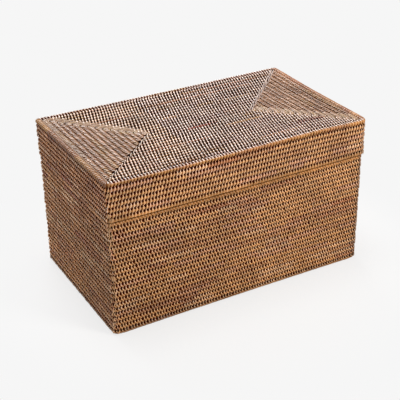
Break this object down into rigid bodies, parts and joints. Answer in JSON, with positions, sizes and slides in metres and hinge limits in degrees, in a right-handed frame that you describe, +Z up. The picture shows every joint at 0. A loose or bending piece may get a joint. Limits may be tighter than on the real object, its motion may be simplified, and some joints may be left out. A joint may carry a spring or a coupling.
{
  "type": "lidded box",
  "caption": "Rectangular box of coiled rattan rods bound with split cane, with a lift-off lid that sits on an inner collar.",
  "frame": {"origin": "middle of the footprint, on the surface that the box stands on", "axes": "+X along the long side, -Y towards the front, +Z up"},
  "size_m": [0.34, 0.201, 0.1917],
  "materials": {
    "wall_cane": "satin split cane, golden brown with darker and redder streaks",
    "rim_cane": "satin split cane, closely wrapped, olive gold",
    "top_cane": "satin split cane with a pale sheen",
    "floor_cane": "satin split cane",
    "collar_strip": "satin"
  },
  "bodies": {
    "base": {"base_floor": "floor_cane", "base_wall_course_01": "wall_cane", "base_wall_course_02": "wall_cane", "base_wall_course_03": "wall_cane", "base_wall_course_04": "wall_cane", "base_wall_course_05": "wall_cane", "base_wall_course_06": "wall_cane", "base_wall_course_07": "wall_cane", "base_wall_course_08": "wall_cane", "base_wall_course_09": "wall_cane", "base_wall_course_10": "wall_cane", "base_wall_course_11": "wall_cane", "base_wall_course_12": "wall_cane", "base_wall_course_13": "wall_cane", "base_wall_course_14": "wall_cane", "base_wall_course_15": "wall_cane", "base_wall_course_16": "wall_cane", "base_wall_course_17": "wall_cane", "base_wall_course_18": "wall_cane", "base_wall_course_19": "wall_cane", "base_wall_course_20": "wall_cane", "base_wall_course_21": "wall_cane", "base_wall_course_22": "wall_cane", "base_wall_course_23": "wall_cane", "base_wall_course_24": "rim_cane", "base_collar": "collar_strip"},
    "lid": {"lid_wall_course_01": "rim_cane", "lid_wall_course_02": "wall_cane", "lid_wall_course_03": "wall_cane", "lid_wall_course_04": "wall_cane", "lid_wall_course_05": "wall_cane", "lid_wall_course_06": "wall_cane", "lid_wall_course_07": "wall_cane", "lid_wall_course_08": "rim_cane", "lid_top_course_01": "top_cane", "lid_top_course_02": "top_cane", "lid_top_course_03": "top_cane", "lid_top_course_04": "top_cane", "lid_top_course_05": "top_cane", "lid_top_course_06": "top_cane", "lid_top_course_07": "top_cane", "lid_top_course_08": "top_cane", "lid_top_course_09": "top_cane", "lid_top_course_10": "top_cane", "lid_top_course_11": "top_cane", "lid_top_course_12": "top_cane", "lid_top_course_13": "top_cane", "lid_top_course_14": "top_cane"}
  },
  "joints": [
    {"name": "lid_lift", "type": "slide", "parent": "base", "child": "lid", "axis": [0, 0, 1], "range_m": [0, 0.08]}
  ]
}
